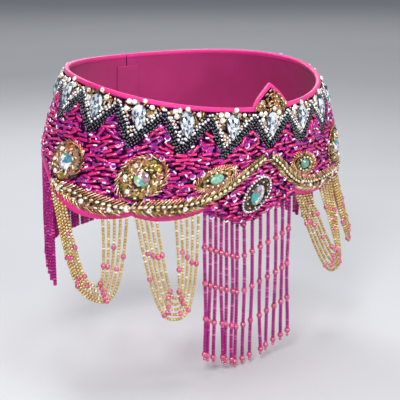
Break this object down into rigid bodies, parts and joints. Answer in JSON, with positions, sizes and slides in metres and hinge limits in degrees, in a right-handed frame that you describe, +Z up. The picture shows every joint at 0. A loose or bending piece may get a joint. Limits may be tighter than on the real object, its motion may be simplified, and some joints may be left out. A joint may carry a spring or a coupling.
{
  "type": "belly dance hip belt",
  "caption": "Beaded belly dance hip belt worn on a hip: embroidered cloth band with scalloped hem, satin edges, gold scrolls, bead swags and fringe.",
  "frame": {"origin": "middle of the hip opening at the height where the wearer's hips hold the belt", "axes": "+Z up, the wearer faces -Y, +X to the wearer's left"},
  "size_m": [0.345, 0.2283, 0.2832],
  "materials": {
    "embroidery": "magenta bugle beads, black seed beads and sequins on stiff cloth",
    "satin": "hot pink satin binding",
    "gold_beads": "pale gold and copper beads and sequins",
    "crystal": "clear faceted crystal with a foiled back",
    "stone": "faceted stone with a rainbow coat",
    "magenta_beads": "magenta glass seed beads with pink pearls",
    "silver": "silver beads and hooks"
  },
  "bodies": {
    "root": {"belt_band": "embroidery", "top_binding": "satin", "hem_binding": "satin", "back_underlap": "satin", "teardrop_01": "crystal", "teardrop_02": "crystal", "teardrop_03": "crystal", "teardrop_04": "crystal", "teardrop_05": "crystal", "teardrop_06": "crystal", "teardrop_07": "crystal", "teardrop_08": "crystal", "teardrop_09": "crystal", "teardrop_10": "crystal", "teardrop_11": "crystal", "teardrop_12": "crystal", "teardrop_13": "crystal", "teardrop_14": "crystal", "teardrop_15": "crystal", "teardrop_16": "crystal", "teardrop_17": "crystal", "teardrop_18": "crystal", "teardrop_19": "crystal", "swirl_front_right": "gold_beads", "swirl_front_left": "gold_beads", "swirl_side_right": "gold_beads", "swirl_side_left": "gold_beads", "leaf_right": "gold_beads", "leaf_left": "gold_beads", "scroll_arm_right": "gold_beads", "scroll_arm_left": "gold_beads", "scroll_tail_right": "gold_beads", "scroll_tail_left": "gold_beads", "swag_front_right": "gold_beads", "swag_front_left": "gold_beads", "swag_side_right": "gold_beads", "swag_side_left": "gold_beads", "medallion": "silver", "back_hook_1": "silver", "back_hook_2": "silver", "back_hook_3": "silver", "fringe_front": "magenta_beads", "fringe_side_right": "magenta_beads", "fringe_side_left": "magenta_beads", "fringe_rear_right": "magenta_beads", "fringe_rear_left": "magenta_beads"}
  },
  "joints": []
}
